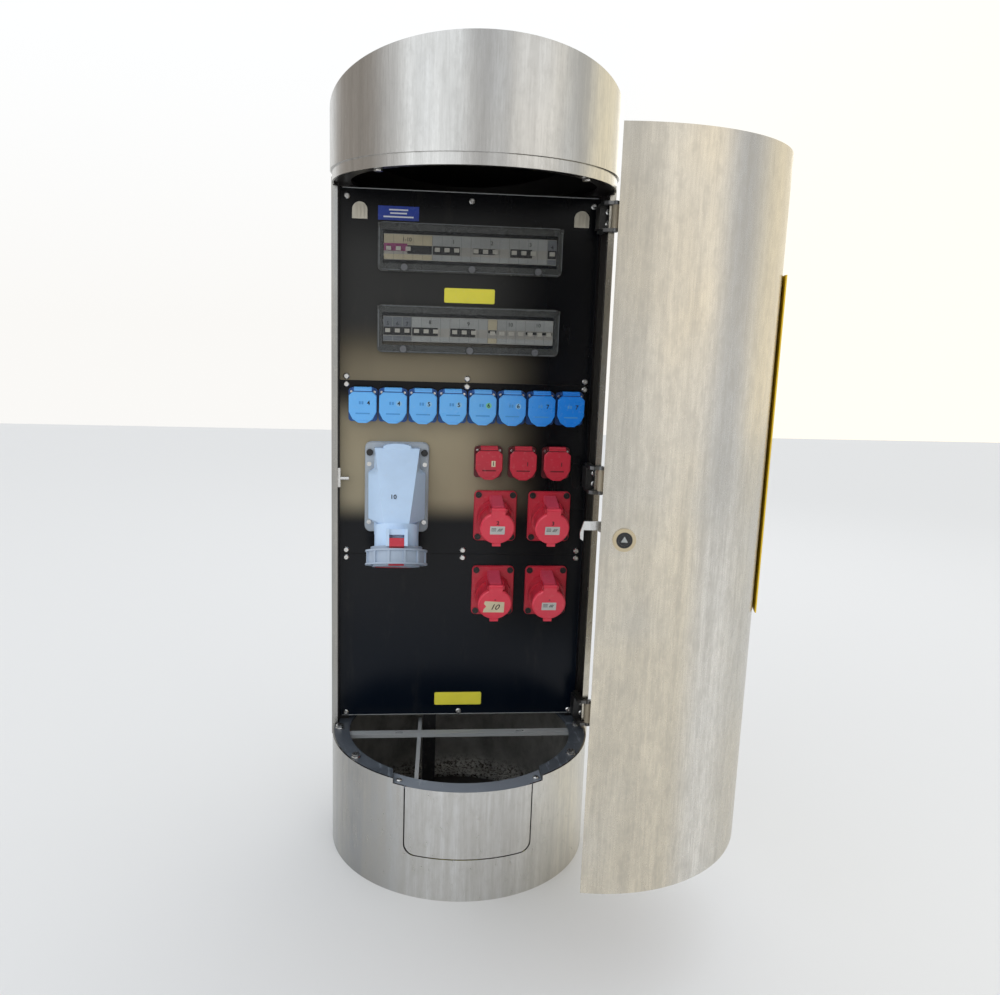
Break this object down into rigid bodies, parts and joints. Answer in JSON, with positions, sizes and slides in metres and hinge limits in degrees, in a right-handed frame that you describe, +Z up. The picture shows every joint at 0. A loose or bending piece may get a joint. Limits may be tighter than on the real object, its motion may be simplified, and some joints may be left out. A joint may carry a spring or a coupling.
{
  "type": "power supply bollard",
  "caption": "Round stainless bollard with a slanted cap and an open curved door over a black panel of covered power sockets and breakers.",
  "frame": {"origin": "on the ground at the axis of the cylinder", "axes": "+Z up along the cylinder, -Y towards the open side with the sockets, +X towards the hinge side"},
  "size_m": [0.691, 0.7724, 1.4064],
  "materials": {
    "stainless": "brushed, upright grain",
    "ring_steel": "dark grey, scuffed",
    "hatch_steel": "brushed",
    "black_panel": "satin black",
    "frame_steel": "black",
    "screw_steel": "bright",
    "bar_steel": "grey",
    "blue_plastic": "smooth",
    "red_plastic": "smooth",
    "grey_plastic": "smooth pale grey",
    "ring_plastic": "ribbed grey",
    "clear_plastic": "clear",
    "window_plastic": "dark grey",
    "knob_plastic": "grey",
    "breaker_plastic": "pale grey",
    "rail_steel": "plated",
    "black_plastic": "black",
    "cream_plastic": "cream",
    "yellow_paint": "yellow",
    "lock_steel": "polished",
    "leaf_steel": "beige grey"
  },
  "bodies": {
    "cabinet": {"base_shell": "stainless", "base_ring": "ring_steel", "base_bars": "bar_steel", "cable_duct": "black_plastic", "hex_bolts": "screw_steel", "hatch": "hatch_steel", "rear_shell": "stainless", "cap_shell": "stainless", "cap_rim": "stainless", "cap_ring": "ring_steel", "inner_frame": "frame_steel", "panel_top": "black_panel", "panel_middle": "black_panel", "panel_bottom": "black_panel", "panel_screws": "screw_steel", "arch_clips": "cream_plastic", "keeper": "screw_steel", "hinge_blocks": "black_plastic", "hinge_arms": "screw_steel", "hinge_pins": "screw_steel", "window_frames": "window_plastic", "breakers_upper": "breaker_plastic", "breakers_lower": "breaker_plastic", "din_rails": "rail_steel", "socket_screws": "screw_steel", "blue_sockets": "blue_plastic", "small_red_sockets": "red_plastic", "large_red_sockets": "red_plastic", "outlet_socket": "grey_plastic"},
    "door": {"door_shell": "stainless", "hinge_leaves": "leaf_steel", "lock_body": "lock_steel", "yellow_plate": "yellow_paint"},
    "lock": {"lock_core": "lock_steel", "latch_hook": "screw_steel"},
    "cover_upper": {"window_cover_upper": "clear_plastic"},
    "cover_lower": {"window_cover_lower": "clear_plastic"},
    "knob_upper_1": {"knob_upper_1": "knob_plastic"},
    "knob_upper_2": {"knob_upper_2": "knob_plastic"},
    "knob_upper_3": {"knob_upper_3": "knob_plastic"},
    "knob_lower_1": {"knob_lower_1": "knob_plastic"},
    "knob_lower_2": {"knob_lower_2": "knob_plastic"},
    "knob_lower_3": {"knob_lower_3": "knob_plastic"},
    "blue_lid_1": {"blue_lid_1": "blue_plastic"},
    "blue_lid_2": {"blue_lid_2": "blue_plastic"},
    "blue_lid_3": {"blue_lid_3": "blue_plastic"},
    "blue_lid_4": {"blue_lid_4": "blue_plastic"},
    "blue_lid_5": {"blue_lid_5": "blue_plastic"},
    "blue_lid_6": {"blue_lid_6": "blue_plastic"},
    "blue_lid_7": {"blue_lid_7": "blue_plastic"},
    "blue_lid_8": {"blue_lid_8": "blue_plastic"},
    "small_red_lid_1": {"small_red_lid_1": "red_plastic"},
    "small_red_lid_2": {"small_red_lid_2": "red_plastic"},
    "small_red_lid_3": {"small_red_lid_3": "red_plastic"},
    "large_red_lid_1": {"large_red_lid_1": "red_plastic"},
    "large_red_lid_2": {"large_red_lid_2": "red_plastic"},
    "large_red_lid_3": {"large_red_lid_3": "red_plastic"},
    "large_red_lid_4": {"large_red_lid_4": "red_plastic"},
    "outlet_lid": {"outlet_lid": "grey_plastic"},
    "outlet_ring": {"outlet_ring": "ring_plastic"}
  },
  "joints": [
    {"name": "door_hinge", "type": "hinge", "parent": "cabinet", "child": "door", "pos_m": [0.248, -0.028, 0.7], "axis": [0, 0, 1], "range_deg": [-81.8, 28]},
    {"name": "lock_turn", "type": "hinge", "parent": "door", "child": "lock", "pos_m": [0.16613, -0.51876, 0.714], "axis": [0.0752, 0.9972, 0], "range_deg": [-21, 69]},
    {"name": "cover_upper_hinge", "type": "hinge", "parent": "cabinet", "child": "cover_upper", "pos_m": [0, 0.0325, 1.1598], "axis": [-1, 0, 0], "range_deg": [0, 95]},
    {"name": "knob_upper_1_turn", "type": "hinge", "parent": "cover_upper", "child": "knob_upper_1", "pos_m": [-0.1206, 0.0245, 1.0858], "axis": [0, -1, 0], "range_deg": [0, 90]},
    {"name": "knob_upper_2_turn", "type": "hinge", "parent": "cover_upper", "child": "knob_upper_2", "pos_m": [0.0015, 0.0245, 1.0858], "axis": [0, -1, 0], "range_deg": [0, 90]},
    {"name": "knob_upper_3_turn", "type": "hinge", "parent": "cover_upper", "child": "knob_upper_3", "pos_m": [0.1225, 0.0245, 1.0858], "axis": [0, -1, 0], "range_deg": [0, 90]},
    {"name": "cover_lower_hinge", "type": "hinge", "parent": "cabinet", "child": "cover_lower", "pos_m": [0, 0.0325, 1.015], "axis": [-1, 0, 0], "range_deg": [0, 95]},
    {"name": "knob_lower_1_turn", "type": "hinge", "parent": "cover_lower", "child": "knob_lower_1", "pos_m": [-0.1206, 0.0245, 0.941], "axis": [0, -1, 0], "range_deg": [0, 90]},
    {"name": "knob_lower_2_turn", "type": "hinge", "parent": "cover_lower", "child": "knob_lower_2", "pos_m": [0.0015, 0.0245, 0.941], "axis": [0, -1, 0], "range_deg": [0, 90]},
    {"name": "knob_lower_3_turn", "type": "hinge", "parent": "cover_lower", "child": "knob_lower_3", "pos_m": [0.1225, 0.0245, 0.941], "axis": [0, -1, 0], "range_deg": [0, 90]},
    {"name": "blue_lid_1_hinge", "type": "hinge", "parent": "cabinet", "child": "blue_lid_1", "pos_m": [-0.19285, 0.0252, 0.86675], "axis": [-1, 0, 0], "range_deg": [0, 110], "stiffness_Nm_per_rad": 0.02, "springref_deg": -28.65},
    {"name": "blue_lid_2_hinge", "type": "hinge", "parent": "cabinet", "child": "blue_lid_2", "pos_m": [-0.13755, 0.0252, 0.86675], "axis": [-1, 0, 0], "range_deg": [0, 110], "stiffness_Nm_per_rad": 0.02, "springref_deg": -28.65},
    {"name": "blue_lid_3_hinge", "type": "hinge", "parent": "cabinet", "child": "blue_lid_3", "pos_m": [-0.08225, 0.0252, 0.86675], "axis": [-1, 0, 0], "range_deg": [0, 110], "stiffness_Nm_per_rad": 0.02, "springref_deg": -28.65},
    {"name": "blue_lid_4_hinge", "type": "hinge", "parent": "cabinet", "child": "blue_lid_4", "pos_m": [-0.02695, 0.0252, 0.86675], "axis": [-1, 0, 0], "range_deg": [0, 110], "stiffness_Nm_per_rad": 0.02, "springref_deg": -28.65},
    {"name": "blue_lid_5_hinge", "type": "hinge", "parent": "cabinet", "child": "blue_lid_5", "pos_m": [0.02835, 0.0252, 0.86675], "axis": [-1, 0, 0], "range_deg": [0, 110], "stiffness_Nm_per_rad": 0.02, "springref_deg": -28.65},
    {"name": "blue_lid_6_hinge", "type": "hinge", "parent": "cabinet", "child": "blue_lid_6", "pos_m": [0.08365, 0.0252, 0.86675], "axis": [-1, 0, 0], "range_deg": [0, 110], "stiffness_Nm_per_rad": 0.02, "springref_deg": -28.65},
    {"name": "blue_lid_7_hinge", "type": "hinge", "parent": "cabinet", "child": "blue_lid_7", "pos_m": [0.13895, 0.0252, 0.86675], "axis": [-1, 0, 0], "range_deg": [0, 110], "stiffness_Nm_per_rad": 0.02, "springref_deg": -28.65},
    {"name": "blue_lid_8_hinge", "type": "hinge", "parent": "cabinet", "child": "blue_lid_8", "pos_m": [0.19425, 0.0252, 0.86675], "axis": [-1, 0, 0], "range_deg": [0, 110], "stiffness_Nm_per_rad": 0.02, "springref_deg": -28.65},
    {"name": "small_red_lid_1_hinge", "type": "hinge", "parent": "cabinet", "child": "small_red_lid_1", "pos_m": [0.0434, 0.0252, 0.76225], "axis": [-1, 0, 0], "range_deg": [0, 110], "stiffness_Nm_per_rad": 0.02, "springref_deg": -28.65},
    {"name": "small_red_lid_2_hinge", "type": "hinge", "parent": "cabinet", "child": "small_red_lid_2", "pos_m": [0.1083, 0.0252, 0.76225], "axis": [-1, 0, 0], "range_deg": [0, 110], "stiffness_Nm_per_rad": 0.02, "springref_deg": -28.65},
    {"name": "small_red_lid_3_hinge", "type": "hinge", "parent": "cabinet", "child": "small_red_lid_3", "pos_m": [0.1732, 0.0252, 0.76225], "axis": [-1, 0, 0], "range_deg": [0, 110], "stiffness_Nm_per_rad": 0.02, "springref_deg": -28.65},
    {"name": "large_red_lid_1_hinge", "type": "hinge", "parent": "cabinet", "child": "large_red_lid_1", "pos_m": [0.0602, -0.01452, 0.65089], "axis": [-1, 0, 0], "range_deg": [0, 110], "stiffness_Nm_per_rad": 0.03, "springref_deg": -28.65},
    {"name": "large_red_lid_2_hinge", "type": "hinge", "parent": "cabinet", "child": "large_red_lid_2", "pos_m": [0.1647, -0.01452, 0.65089], "axis": [-1, 0, 0], "range_deg": [0, 110], "stiffness_Nm_per_rad": 0.03, "springref_deg": -28.65},
    {"name": "large_red_lid_3_hinge", "type": "hinge", "parent": "cabinet", "child": "large_red_lid_3", "pos_m": [0.0602, -0.01452, 0.50239], "axis": [-1, 0, 0], "range_deg": [0, 110], "stiffness_Nm_per_rad": 0.03, "springref_deg": -28.65},
    {"name": "large_red_lid_4_hinge", "type": "hinge", "parent": "cabinet", "child": "large_red_lid_4", "pos_m": [0.1647, -0.01452, 0.50239], "axis": [-1, 0, 0], "range_deg": [0, 110], "stiffness_Nm_per_rad": 0.03, "springref_deg": -28.65},
    {"name": "outlet_lid_hinge", "type": "hinge", "parent": "cabinet", "child": "outlet_lid", "pos_m": [-0.1286, -0.09379, 0.60428], "axis": [-1, 0, 0], "range_deg": [0, 105], "stiffness_Nm_per_rad": 0.1, "springref_deg": -91.67},
    {"name": "outlet_ring_turn", "type": "hinge", "parent": "outlet_lid", "child": "outlet_ring", "pos_m": [-0.1286, -0.05003, 0.56745], "axis": [0, -0.309, -0.9511], "range_deg": [0, 45]}
  ]
}
